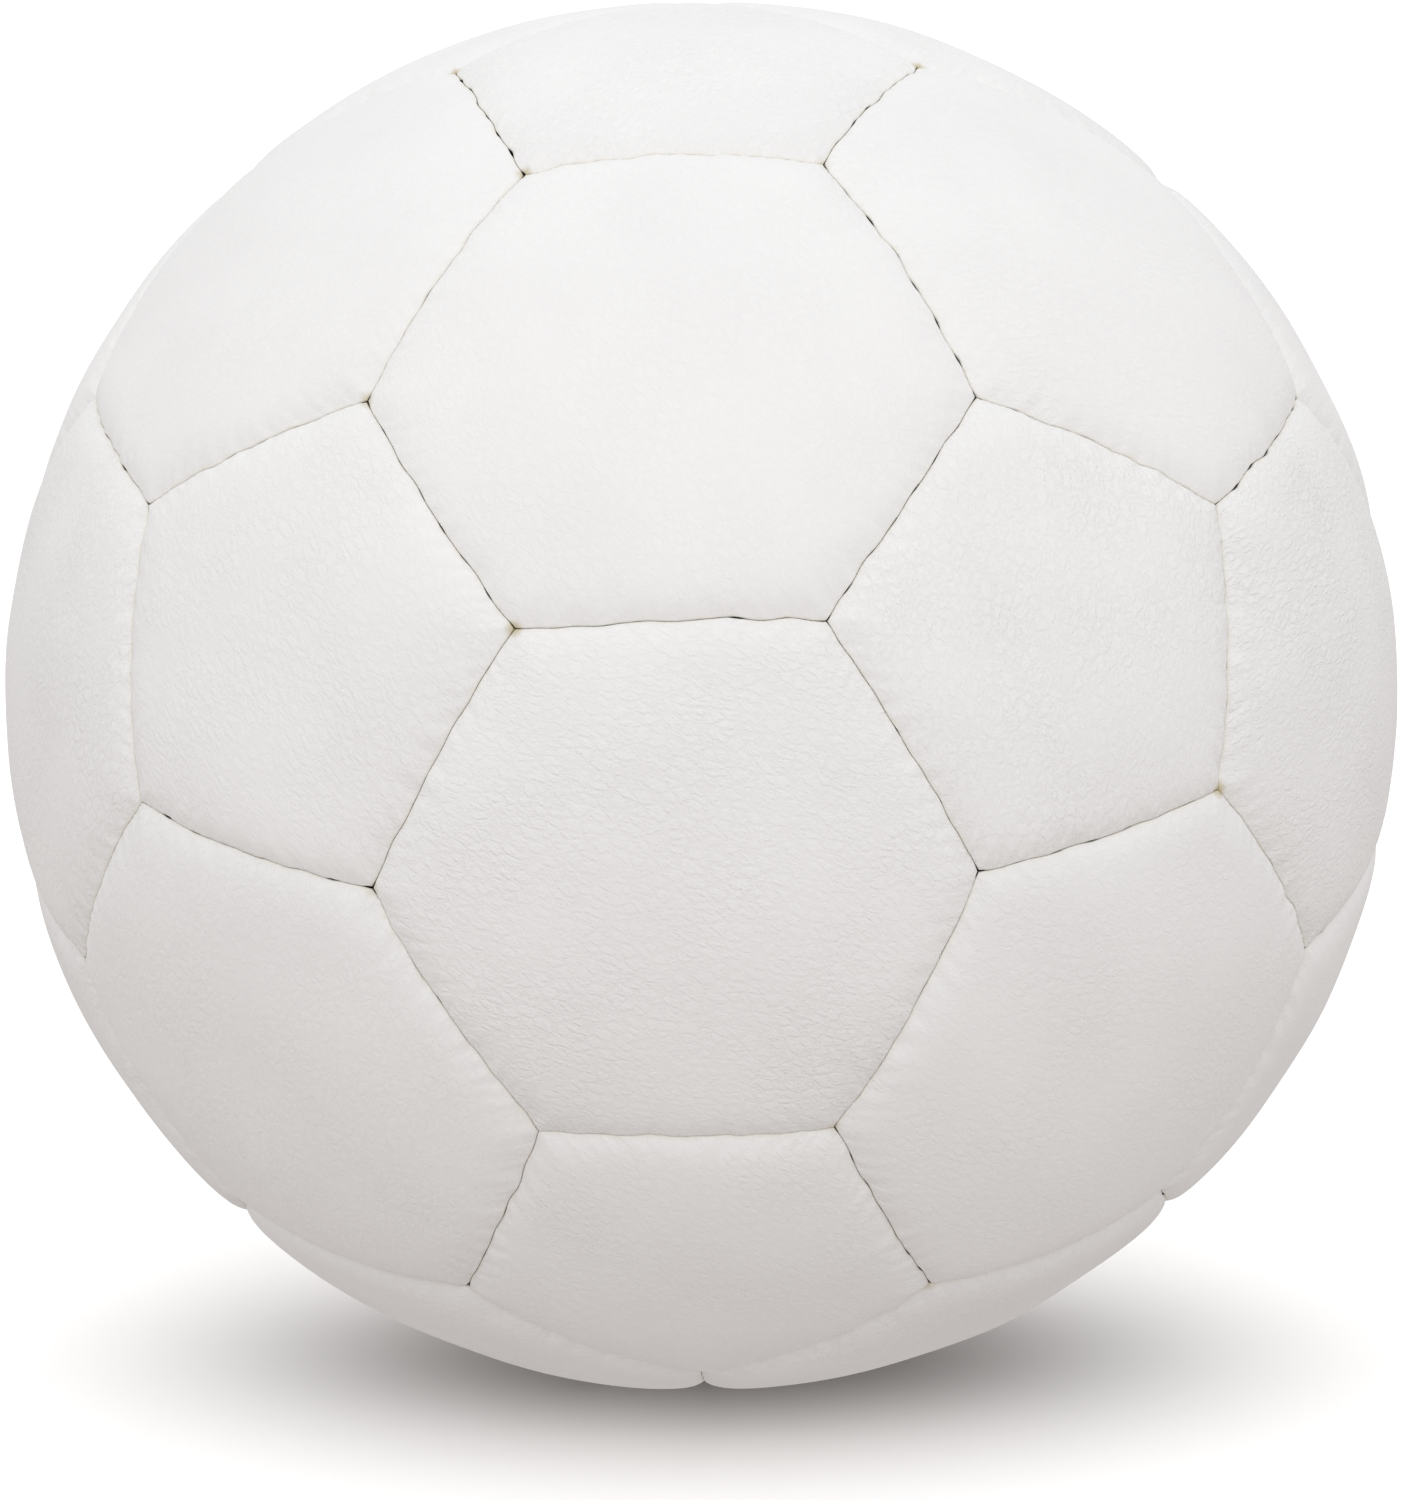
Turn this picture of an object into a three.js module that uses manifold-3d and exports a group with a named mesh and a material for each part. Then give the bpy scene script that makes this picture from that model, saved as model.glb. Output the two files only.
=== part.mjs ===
// A stitched medicine ball: thirty-two padded panels round a stuffing with a weighted core.
//
// Millimetres, +Z up. The origin is on the floor, below the ball's centre. The ball stands on a small
// flat patch, where its weight presses the lowest panels on to the floor. The panels are laid out as a
// truncated icosahedron: a pentagon at each of an icosahedron's corners, a hexagon on each of its faces.

import * as THREE from "three";
import { mergeVertices } from "three/addons/utils/BufferGeometryUtils.js";
import Module from "manifold-3d";

// ---- Driving dimensions ----

const BALL_DIAMETER = 230;
const CONTACT_DIAMETER = 40; // the patch that the floor presses flat

const PANEL_THICKNESS = 3.2; // leatherette with its foam and its cloth backing
const LIP_WIDTH = 5; // how far from its edge a panel starts to roll inwards
const LIP_DEPTH = 2.6; // how far it has dropped at the edge
const SEAM_GAP = 1.2; // between the turned-in edges of two panels, where the thread runs
const FLANGE_THICKNESS = 2.4; // of a turned-in edge
const STITCH_DEPTH = 3.4; // from the ball's surface to the thread at a seam's ends
const SEAM_ALLOWANCE = 1.3; // the strip of a turned-in edge below the thread, at its narrowest
const THREAD_DIAMETER = 0.6;
const KNOT_DIAMETER = 1.1; // where three runs of thread meet
const KNOT_HEIGHT = 0.8;
const LINING_GAP = 0.8; // between the turned-in edges and the stuffing bag

const CLOTH_THICKNESS = 1.2; // of both bags
const CORE_DIAMETER = 112;
const NECK_DIAMETER = 16; // where a bag's cloth is gathered and tied
const NECK_LENGTH = 14;
const NECK_BORE = 5;
const NECK_COLLAR = 3; // between the tie's groove and the end of the neck
const TIE_DIAMETER = 2;
const FILL_ELEVATION = 54; // of the sand's edge, in degrees up from the middle of its bag

const FIT_GAP = 0.3; // between pieces that rest on each other

// How the ball happens to lie, in degrees, from a seam between two hexagons that faces -Y.
const BALL_TURN = -2.5;
const BALL_TILT = -15;
const BALL_ROLL = -1;

// ---- Mesh fineness ----

const PANEL_RINGS = 2; // between a panel's middle and its lip
const PANEL_SIDE_STEPS = 3;
const THREAD_SIDES = 4;
const ROUND_STEPS = 20; // round the axis of a bag, a tie or the stuffing
const ARC_STEP = 18; // degrees of elevation between the rings of a bag or the stuffing
const TIE_SIDES = 5;

// ---- Worked out from them ----

const wasm = await Module();
wasm.setup();
const radius = BALL_DIAMETER / 2;
const centreHeight = Math.sqrt(radius ** 2 - (CONTACT_DIAMETER / 2) ** 2);
const icosahedron = bareVertices(new THREE.IcosahedronGeometry(1));
const pentagonCentres = pointsOf(icosahedron);
const faces = facesOf(icosahedron);
const seams = seamEnds();
const seamAngle = seams[0][0].angleTo(seams[0][1]);
const threadSag = (radius - STITCH_DEPTH) * (1 - Math.cos(seamAngle / 2));
const flangeDepth = STITCH_DEPTH + threadSag + THREAD_DIAMETER / 2 + SEAM_ALLOWANCE;
const stuffingRadius = radius - flangeDepth - LINING_GAP;
const tieRingRadius = (NECK_DIAMETER - TIE_DIAMETER) / 2;
const waistRadius = tieRingRadius - TIE_DIAMETER / 2 - FIT_GAP;
const waistLength = TIE_DIAMETER + 2 * FIT_GAP;
const stuffingNeckBase = heightOfRing(stuffingRadius - CLOTH_THICKNESS, NECK_DIAMETER / 2);
const coreNeckBase = heightOfRing(CORE_DIAMETER / 2, NECK_DIAMETER / 2);
const waddingOutside = stuffingRadius - CLOTH_THICKNESS - FIT_GAP;
const waddingInside = CORE_DIAMETER / 2 + FIT_GAP;

// ---- Materials ----

const leatherette = new THREE.MeshStandardMaterial({ color: 0xf2efec, roughness: 0.55, metalness: 0 });
const waxedThread = new THREE.MeshStandardMaterial({ color: 0xd8cfbb, roughness: 0.7, metalness: 0 });
const calico = new THREE.MeshStandardMaterial({ color: 0xd9ccb0, roughness: 0.9, metalness: 0 });
const cottonCord = new THREE.MeshStandardMaterial({ color: 0xbfb193, roughness: 0.85, metalness: 0 });
const fibre = new THREE.MeshStandardMaterial({ color: 0xe9e9e6, roughness: 1, metalness: 0 });
const ironSand = new THREE.MeshStandardMaterial({ color: 0x3a3734, roughness: 0.8, metalness: 0.3 });

// ---- Helpers ----

/** The geometry with nothing but positions, and each shared vertex once. */
function bareVertices(geometry) {
  const bare = geometry.clone();
  bare.deleteAttribute("normal");
  bare.deleteAttribute("uv");
  return mergeVertices(bare, 1e-4);
}

/** A closed body: shared vertices are merged, and triangles without area, as on a lathe's axis, go. */
function closedBody(geometry) {
  const body = bareVertices(geometry);
  const kept = facesOf(body).filter(([a, b, c]) => a !== b && b !== c && c !== a);
  body.setIndex(kept.flat());
  body.computeVertexNormals();
  return body;
}

function pointsOf(geometry) {
  const { count } = geometry.attributes.position;
  return Array.from({ length: count }, (_, i) => {
    return new THREE.Vector3().fromBufferAttribute(geometry.attributes.position, i);
  });
}

function facesOf(geometry) {
  const index = geometry.index.array;
  return Array.from({ length: index.length / 3 }, (_, i) => [...index.slice(3 * i, 3 * i + 3)]);
}

/** A closed geometry as a solid that can be joined and cut. */
function solidOf(geometry) {
  const body = closedBody(geometry);
  const vertProperties = body.attributes.position.array;
  const triVerts = new Uint32Array(body.index.array);
  return new wasm.Manifold(new wasm.Mesh({ numProp: 3, vertProperties, triVerts }));
}

/** The geometry of a joined or cut solid. */
function geometryOf(solid) {
  const { vertProperties, numProp, triVerts } = solid.getMesh();
  const geometry = new THREE.BufferGeometry();
  geometry.setAttribute("position", new THREE.BufferAttribute(vertProperties, numProp));
  geometry.setIndex([...triVerts]);
  return geometry;
}

function named(name, geometry, material) {
  const mesh = new THREE.Mesh(geometry, material);
  mesh.name = name;
  return mesh;
}

// ---- The panels' layout ----

/** The corner of three seams that lies a third of the way from one pentagon's centre to the next one's. */
function corner(from, to) {
  return pentagonCentres[from].clone().lerp(pentagonCentres[to], 1 / 3).normalize();
}

/** The directions of each seam's ends. Three of a hexagon's sides meet pentagons, and three hexagons. */
function seamEnds() {
  const ends = [];
  for (const face of faces) {
    for (let i = 0; i < 3; i++) {
      const [a, b, c] = [face[i], face[(i + 1) % 3], face[(i + 2) % 3]];
      ends.push([corner(a, b), corner(a, c)]);
      if (a < b) {
        ends.push([corner(a, b), corner(b, a)]);
      }
    }
  }
  return ends;
}

/** The turn that brings +Z to a panel's centre and +X towards one of its corners. */
function facing(centre, cornerPoint) {
  const y = centre.clone().cross(cornerPoint).normalize();
  const x = y.clone().cross(centre);
  return new THREE.Quaternion().setFromRotationMatrix(new THREE.Matrix4().makeBasis(x, y, centre));
}

/** The turns of the twelve pentagons. */
function pentagonTurns() {
  return pentagonCentres.map((centre, i) => {
    const neighbour = faces.find((face) => face.includes(i)).find((other) => other !== i);
    return facing(centre, corner(i, neighbour));
  });
}

/** The turns of the twenty hexagons. */
function hexagonTurns() {
  return faces.map(([a, b, c]) => {
    const centre = pentagonCentres[a].clone().add(pentagonCentres[b]).add(pentagonCentres[c]).normalize();
    return facing(centre, corner(a, b));
  });
}

// ---- The panels ----

/** The angle, seen from the ball's centre, between a panel's middle and the seam at the middle of a side. */
function apothemAngle(sides) {
  const cornerAngle = Math.asin(Math.sin(seamAngle / 2) / Math.sin(Math.PI / sides));
  return Math.atan(Math.tan(cornerAngle) * Math.cos(Math.PI / sides));
}

/** A round panel's section: along its underside, round its turned-in edge and its lip, and over the top. */
function panelProfile(apothem) {
  const lipStart = apothem - LIP_WIDTH / radius;
  const at = (angle, depth) => {
    const reach = radius - depth;
    return new THREE.Vector2(reach * Math.sin(angle), reach * Math.cos(angle));
  };
  const dome = Array.from({ length: PANEL_RINGS + 1 }, (_, i) => (lipStart * i) / PANEL_RINGS);
  const lip = [Math.PI / 4, Math.PI / 2].map((turn) => {
    return at(lipStart + (Math.sin(turn) * LIP_WIDTH) / radius, (1 - Math.cos(turn)) * LIP_DEPTH);
  });
  const flangeInside = apothem - FLANGE_THICKNESS / radius;
  return [
    ...dome.slice(0, -1).map((angle) => at(angle, PANEL_THICKNESS)),
    at(flangeInside, PANEL_THICKNESS),
    at(flangeInside, flangeDepth),
    at(apothem, flangeDepth),
    ...lip.reverse(),
    ...dome.reverse().map((angle) => at(angle, 0)),
  ];
}

/** A panel that faces +Z with a corner towards +X: a round one, its rim drawn out to straight sides. */
function panel(sides) {
  const apothem = apothemAngle(sides) - SEAM_GAP / 2 / radius;
  const sideTurn = (2 * Math.PI) / sides;
  const round = new THREE.LatheGeometry(panelProfile(apothem), sides * PANEL_SIDE_STEPS, Math.PI / 2);
  const geometry = round.rotateX(Math.PI / 2);
  for (const [i, point] of pointsOf(geometry).entries()) {
    const around = Math.atan2(point.y, point.x);
    const fromMidSide = THREE.MathUtils.euclideanModulo(around, sideTurn) - sideTurn / 2;
    const sideAngle = Math.atan(Math.tan(apothem) / Math.cos(fromMidSide));
    const angle = point.angleTo(new THREE.Vector3(0, 0, 1)) * (sideAngle / apothem);
    const moved = new THREE.Vector3(Math.cos(around), Math.sin(around), 0);
    moved.multiplyScalar(Math.sin(angle)).setZ(Math.cos(angle)).multiplyScalar(point.length());
    geometry.attributes.position.setXYZ(i, ...moved.toArray());
  }
  return closedBody(geometry);
}

/** Squeezes a panel that reaches below the floor: its outside is pressed flat, and its foam is thinner. */
function pressOnFloor(mesh) {
  mesh.updateWorldMatrix(true, false);
  if (pointsOf(mesh.geometry).every((point) => point.applyMatrix4(mesh.matrixWorld).z > 0)) {
    return;
  }
  const floor = new THREE.BoxGeometry(BALL_DIAMETER, BALL_DIAMETER, BALL_DIAMETER);
  floor.translate(0, 0, -BALL_DIAMETER / 2).applyMatrix4(mesh.matrixWorld.clone().invert());
  mesh.geometry = geometryOf(solidOf(mesh.geometry).subtract(solidOf(floor)));
}

// ---- The thread ----

/** One seam's run of thread, straight from knot to knot, with two of its sides along the seam's walls. */
function threadRun([from, to]) {
  const reach = radius - STITCH_DEPTH;
  const length = 2 * reach * Math.sin(from.angleTo(to) / 2) - KNOT_DIAMETER / 2;
  const shape = new THREE.CylinderGeometry(THREAD_DIAMETER / 2, THREAD_DIAMETER / 2, length, THREAD_SIDES);
  const along = to.clone().sub(from).normalize();
  const outwards = from.clone().add(to).normalize();
  const across = along.clone().cross(outwards);
  shape.rotateY(Math.PI / THREAD_SIDES).translate(0, 0, reach * Math.cos(from.angleTo(to) / 2));
  return shape.applyMatrix4(new THREE.Matrix4().makeBasis(across, along, outwards));
}

/** The knot where three runs meet, a six-sided one that turns a flat side to each of them. */
function knot(from, to) {
  const place = corner(from, to);
  const shape = new THREE.CylinderGeometry(KNOT_DIAMETER / 2, KNOT_DIAMETER / 2, KNOT_HEIGHT, 6);
  shape.rotateX(Math.PI / 2).applyQuaternion(facing(place, corner(to, from)));
  return shape.translate(...place.multiplyScalar(radius - STITCH_DEPTH).toArray());
}

/** The net of thread along every seam. */
function seamThread() {
  const knots = faces.flatMap(([a, b, c]) => [knot(a, b), knot(b, c), knot(c, a)]);
  const pieces = [...knots, ...seams.map(threadRun)].map(solidOf);
  return geometryOf(pieces.reduce((joined, piece) => joined.add(piece)));
}

// ---- The stuffing ----

/**
 * Points on an arc round the ball's centre, from one elevation to another, as a lathe takes them. Between
 * its ends they are at the same elevations on every arc, so that the facets of nested pieces match.
 */
function arc(arcRadius, from, to) {
  const [low, high] = [Math.min(from, to), Math.max(from, to)];
  const step = THREE.MathUtils.degToRad(ARC_STEP);
  const rings = Array.from({ length: 180 / ARC_STEP }, (_, i) => i * step - Math.PI / 2);
  const between = rings.filter((elevation) => elevation > low + step / 100 && elevation < high - step / 100);
  const elevations = [low, ...between, high];
  const points = elevations.map((elevation) => {
    return new THREE.Vector2(arcRadius * Math.cos(elevation), arcRadius * Math.sin(elevation));
  });
  return from > to ? points.reverse() : points;
}

/** The elevation at which a sphere is as wide as a ring round its axis. */
function elevationOfRing(sphereRadius, ringRadius) {
  return Math.acos(ringRadius / sphereRadius);
}

/** The height at which a sphere is as wide as a ring round its axis. */
function heightOfRing(sphereRadius, ringRadius) {
  return Math.sqrt(sphereRadius ** 2 - ringRadius ** 2);
}

/** A body turned round +Z. */
function turned(profile) {
  return closedBody(new THREE.LatheGeometry(profile, ROUND_STEPS).rotateX(Math.PI / 2));
}

/** The outside of a gathered neck, from where it leaves its bag to its end, with a groove for the tie. */
function neckProfile(base, direction) {
  const end = base + direction * NECK_LENGTH;
  const grooveEnd = end - direction * NECK_COLLAR;
  const grooveStart = grooveEnd - direction * waistLength;
  return [
    new THREE.Vector2(NECK_DIAMETER / 2, base),
    new THREE.Vector2(NECK_DIAMETER / 2, grooveStart),
    new THREE.Vector2(waistRadius, grooveStart),
    new THREE.Vector2(waistRadius, grooveEnd),
    new THREE.Vector2(NECK_DIAMETER / 2, grooveEnd),
    new THREE.Vector2(NECK_DIAMETER / 2, end),
    new THREE.Vector2(NECK_BORE / 2, end),
  ];
}

/** The cord round a neck. */
function tie(base, direction) {
  const ring = new THREE.TorusGeometry(tieRingRadius, TIE_DIAMETER / 2, TIE_SIDES, ROUND_STEPS);
  const height = base + direction * (NECK_LENGTH - NECK_COLLAR - waistLength / 2);
  return closedBody(ring.translate(0, 0, height));
}

/** The bag that holds all the stuffing. Its neck is tucked inwards, so that the ball stays round. */
function stuffingBag() {
  const inside = stuffingRadius - CLOTH_THICKNESS;
  return turned([
    ...arc(stuffingRadius, -Math.PI / 2, elevationOfRing(stuffingRadius, NECK_BORE / 2)),
    ...neckProfile(stuffingNeckBase, -1).reverse(),
    ...arc(inside, elevationOfRing(inside, NECK_DIAMETER / 2), -Math.PI / 2).slice(1),
  ]);
}

/** The bag of sand at the middle, with its neck up. */
function coreBag() {
  const outside = CORE_DIAMETER / 2;
  const inside = outside - CLOTH_THICKNESS;
  return turned([
    ...arc(outside, -Math.PI / 2, elevationOfRing(outside, NECK_DIAMETER / 2)).slice(0, -1),
    ...neckProfile(coreNeckBase, 1),
    ...arc(inside, elevationOfRing(inside, NECK_BORE / 2), -Math.PI / 2),
  ]);
}

/** The sand, which settles level below the neck of its bag. */
function coreFill() {
  const reach = CORE_DIAMETER / 2 - CLOTH_THICKNESS - FIT_GAP;
  const edge = THREE.MathUtils.degToRad(FILL_ELEVATION);
  return turned([...arc(reach, -Math.PI / 2, edge), new THREE.Vector2(0, reach * Math.sin(edge))]);
}

/** The half of the wadding above the middle, with a way through for both necks. */
function upperWadding() {
  const way = NECK_DIAMETER / 2 + FIT_GAP;
  const split = FIT_GAP / 2;
  const section = [
    ...arc(waddingOutside, Math.asin(split / waddingOutside), elevationOfRing(waddingOutside, way)),
    ...arc(waddingInside, elevationOfRing(waddingInside, way), Math.asin(split / waddingInside)),
  ];
  return turned([...section, section[0]]);
}

/** The half of the wadding below the middle. */
function lowerWadding() {
  const split = -FIT_GAP / 2;
  return turned([
    ...arc(waddingOutside, -Math.PI / 2, Math.asin(split / waddingOutside)),
    ...arc(waddingInside, Math.asin(split / waddingInside), -Math.PI / 2),
  ]);
}

// ---- The ball ----

const ball = new THREE.Group();
ball.position.z = centreHeight;

const cover = new THREE.Group();
const [turn, tilt, roll] = [BALL_TURN, BALL_TILT, BALL_ROLL].map(THREE.MathUtils.degToRad);
cover.rotation.set(tilt, roll, turn, "ZXY");
ball.add(cover);

for (const [kind, sides, turns] of [["hexagon", 6, hexagonTurns()], ["pentagon", 5, pentagonTurns()]]) {
  for (const [i, panelTurn] of turns.entries()) {
    const number = String(i + 1).padStart(2, "0");
    const mesh = named(`${kind}_panel_${number}`, panel(sides), leatherette);
    mesh.quaternion.copy(panelTurn);
    cover.add(mesh);
    pressOnFloor(mesh);
  }
}
cover.add(named("seam_thread", seamThread(), waxedThread));

ball.add(
  named("stuffing_bag", stuffingBag(), calico),
  named("stuffing_bag_tie", tie(stuffingNeckBase, -1), cottonCord),
  named("wadding_upper", upperWadding(), fibre),
  named("wadding_lower", lowerWadding(), fibre),
  named("core_bag", coreBag(), calico),
  named("core_bag_tie", tie(coreNeckBase, 1), cottonCord),
  named("core_fill", coreFill(), ironSand),
);

export default ball;
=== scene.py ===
import math

import bpy
import numpy as np
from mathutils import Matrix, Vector


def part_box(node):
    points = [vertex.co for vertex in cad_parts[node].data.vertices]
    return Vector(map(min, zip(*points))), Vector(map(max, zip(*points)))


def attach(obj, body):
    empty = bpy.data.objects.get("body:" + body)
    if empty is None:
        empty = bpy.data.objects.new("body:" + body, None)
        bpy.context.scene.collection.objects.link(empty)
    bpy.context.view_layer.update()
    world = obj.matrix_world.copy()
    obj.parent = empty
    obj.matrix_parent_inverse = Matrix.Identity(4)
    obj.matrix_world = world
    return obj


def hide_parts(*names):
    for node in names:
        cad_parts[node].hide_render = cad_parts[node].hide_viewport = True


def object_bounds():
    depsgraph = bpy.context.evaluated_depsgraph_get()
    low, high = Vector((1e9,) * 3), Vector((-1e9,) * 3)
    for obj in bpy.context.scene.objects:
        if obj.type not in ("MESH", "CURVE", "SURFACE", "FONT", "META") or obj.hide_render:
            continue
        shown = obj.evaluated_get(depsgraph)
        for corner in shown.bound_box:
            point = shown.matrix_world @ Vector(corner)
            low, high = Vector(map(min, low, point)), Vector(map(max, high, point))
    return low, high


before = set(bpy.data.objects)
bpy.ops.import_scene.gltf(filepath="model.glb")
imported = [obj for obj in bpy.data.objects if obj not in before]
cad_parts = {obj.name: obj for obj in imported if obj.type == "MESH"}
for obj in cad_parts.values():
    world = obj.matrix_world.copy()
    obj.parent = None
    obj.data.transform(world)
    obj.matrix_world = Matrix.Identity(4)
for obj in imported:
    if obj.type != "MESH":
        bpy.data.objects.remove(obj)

cad_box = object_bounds()
MM = 0.001
SAME_PLACE = 0.1 * MM  # what lies closer than this counts as touching

# A stitched medicine ball: padded panels of leatherette, sewn edge to edge round a stuffing with a
# weighted core. The panels' places come from the frame, and what follows is their upholstery.

# ---- The ball, from the frame ----

thread_low, thread_high = (np.array(corner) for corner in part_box("seam_thread"))
CENTRE = (thread_low + thread_high) / 2


def node_points(name):
    """A CAD node's points, counted from the ball's centre."""
    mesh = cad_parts[name].data
    points = np.empty(len(mesh.vertices) * 3)
    mesh.vertices.foreach_get("co", points)
    return points.reshape(-1, 3) - CENTRE


def unit(vectors):
    vectors = np.asarray(vectors, float)
    return vectors / np.linalg.norm(vectors, axis=-1, keepdims=True)


PANEL_NODES = sorted(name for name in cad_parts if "_panel_" in name)
RADIUS = max(np.linalg.norm(node_points(name), axis=1).max() for name in PANEL_NODES)
PATCH_HEIGHT = cad_box[0][2]


def panel_middles():
    """{node: the direction of its middle}. A panel pressed by the floor has its opposite's, reversed."""
    seen = {name: unit(node_points(name).mean(axis=0)) for name in PANEL_NODES}
    middles = {}
    for name, middle in seen.items():
        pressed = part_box(name)[0][2] < PATCH_HEIGHT + SAME_PLACE
        opposite = min(seen.values(), key=lambda other: float(other @ middle))
        middles[name] = -opposite if pressed else middle
    return middles


MIDDLES = panel_middles()
PENTAGONS = np.array([MIDDLES[name] for name in PANEL_NODES if name.startswith("pentagon")])


def seam_corners():
    """Where three seams meet: a third of the way from each pentagon's middle to its five neighbours'."""
    corners = []
    for middle in PENTAGONS:
        nearest = np.argsort(-(PENTAGONS @ middle))[1:6]
        corners += [unit(2 * middle + PENTAGONS[i]) for i in nearest]
    return np.array(corners)


CORNERS = seam_corners()


def seam_pairs():
    """Both corners of each seam, which are the three nearest neighbours among the corners."""
    pairs = set()
    for i, corner in enumerate(CORNERS):
        for j in np.argsort(-(CORNERS @ corner))[1:4]:
            pairs.add((min(i, int(j)), max(i, int(j))))
    return [(CORNERS[i], CORNERS[j]) for i, j in sorted(pairs)]


SEAMS = seam_pairs()
SEAM_LENGTH = RADIUS * math.acos(float(SEAMS[0][0] @ SEAMS[0][1]))

# ---- Upholstery, in metres ----

STITCHES_PER_SEAM = 7
STITCH = SEAM_LENGTH / STITCHES_PER_SEAM

VALLEY_DEPTH = 1.65 * MM  # how far a seam is drawn in
LIP_RADIUS = 0.22 * MM  # of the last turn into the seam
PUCKER_DEPTH = 0.18 * MM  # at each stitch
PUCKER_REACH = 1.3 * MM
WRINKLE_DEPTH = 0.12 * MM  # of the folds that run out from a seam
WRINKLE_REACH = 3.5 * MM
CLOSED_GAP = 0.008 * MM  # half the gap where two lips are pulled together
OPEN_GAP = 0.11 * MM  # and half of what it gains between loose stitches
GAP_REACH = 0.9 * MM
SLIT_SHARE = 0.42  # of each stitch, where it is loose
LOOSENESS = 0.45  # of an average seam: 0 is pulled tight
SEAM_VARIETY = 0.45  # how far whole seams differ from that
STITCH_VARIETY = 0.35  # and how far their stitches differ
MOST_LOOSE = 1.5
LOOSE_POWER = 1.6  # of the looseness, that a gap grows with
EDGE_BAND = 0.3 * MM  # points this close to a seam are part of the turned-in edge
CHANNEL = 0.6 * MM  # half the room between two turned-in edges, for the thread
CHANNEL_START = 0.9 * MM  # below the lip, from where it is fully wide
FLANGE_THICKNESS = 2.2 * MM
FLANGE_DEPTHS = [0.3 * MM, 0.9 * MM, 1.6 * MM, 3.6 * MM]  # below the lip
PANEL_THICKNESS = 3.2 * MM
BACK_RINGS = (0.75, 0.6, 0.4)  # of a panel's back, each as a share of the one outside it
SLIT_SHADE_START = 0.25 * MM  # below the lip, where the painted shade of the slits starts on the turned-in edge
SLIT_SHADE_BLEND = 0.6 * MM
THREAD_RADIUS = 0.25 * MM
THREAD_DEPTH = 4.6 * MM
THREAD_RISE = 0.6 * MM
THREAD_SWING = 0.3 * MM
THREAD_END = 1.4 * MM  # from the corner where three seams meet

JUNCTION_DEPTH = 0.2 * MM  # what a corner is drawn in more than a seam
JUNCTION_REACH = 3.0 * MM

CLOTH_PRESSURE = 9000
CLOTH_SLACK = 0.023  # of the leatherette, which is gathered as it is sewn
CLOTH_FRAMES = 10
CLOTH_TENSION = 13
CLOTH_BENDING = 0.3

PANEL_STEPS = 10 * STITCHES_PER_SEAM  # along a side
EDGE_CROWDING = 0.2  # of the rings near a seam

# ---- Small irregularities ----


class Waves:
    """A smooth random field on the ball: a sum of sine waves that run in all directions."""

    def __init__(self, seed, length, count=24):
        draw = np.random.default_rng(seed)
        directions = unit(draw.normal(size=(count, 3)))
        lengths = length * draw.uniform(0.7, 1.5, size=(count, 1))
        self.waves = directions * 2 * math.pi / lengths
        self.phases = draw.uniform(0, 2 * math.pi, count)
        self.scale = math.sqrt(2 / count)

    def at(self, points):
        return np.sin(points @ self.waves.T + self.phases).sum(axis=1) * self.scale


# The seeds of the sway, the looseness and the cutting were picked by search and not drawn at random,
# for where the seams lie, how far they gape and how strong each panel's grain is.
sewing_sway = [Waves(seed, 150 * MM, count=6) for seed in (3982, 4329, 3454)]
sewing_wobble = [Waves(seed, 7 * MM) for seed in (21, 22, 23)]
panel_unevenness = Waves(31, 24 * MM)
seam_looseness = Waves(57416, 40 * MM)
stitch_looseness = Waves(43, 10 * MM)
wrinkles = Waves(47, 6 * MM)

SWAY = 1.1 * MM
WOBBLE = 0.12 * MM
UNEVENNESS = 0.1 * MM
UNEVENNESS_START = 8 * MM  # from a seam, where it is full
FLOOR_SOFTNESS = 0.25 * MM  # of the bend round the flat patch


def hand_sewn(points):
    """Moves points of the whole ball a little, the same way on both sides of a seam."""
    sway = np.stack([field.at(points) for field in sewing_sway], axis=1) * SWAY
    wobble = np.stack([field.at(points) for field in sewing_wobble], axis=1) * WOBBLE
    outwards = unit(points)
    moved = sway + wobble
    return points + moved - outwards * (moved * outwards).sum(axis=1, keepdims=True)


def on_floor(points, depths):
    """Presses points flat on the floor, those below the surface as far above it as they are deep."""
    height = CENTRE[2] - PATCH_HEIGHT
    lowest = -height + np.clip(depths, 0, PANEL_THICKNESS)
    excess = (points[:, 2] - lowest) / FLOOR_SOFTNESS
    pressed = points.copy()
    pressed[:, 2] = lowest + FLOOR_SOFTNESS * np.logaddexp(0, excess * 2) / 2
    return pressed


# ---- Objects ----


def deselect():
    for thing in bpy.context.selected_objects:
        thing.select_set(False)


def make_active(thing):
    deselect()
    thing.select_set(True)
    bpy.context.view_layer.objects.active = thing


def mesh_points(mesh):
    points = np.empty(len(mesh.vertices) * 3)
    mesh.vertices.foreach_get("co", points)
    return points.reshape(-1, 3)


def set_mesh_points(mesh, points):
    mesh.vertices.foreach_set("co", np.ascontiguousarray(points, dtype=np.float32).ravel())
    mesh.update()


def add_piece(name, mesh, material, slot, *nodes):
    """A finished piece, which stands for CAD nodes and takes the material given; its slot is not used."""
    piece = bpy.data.objects.new(name, mesh)
    bpy.context.collection.objects.link(piece)
    mesh.materials.clear()
    mesh.materials.append(material)
    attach(piece, "root")
    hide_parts(*nodes)
    return piece


# ---- Node materials ----


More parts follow.
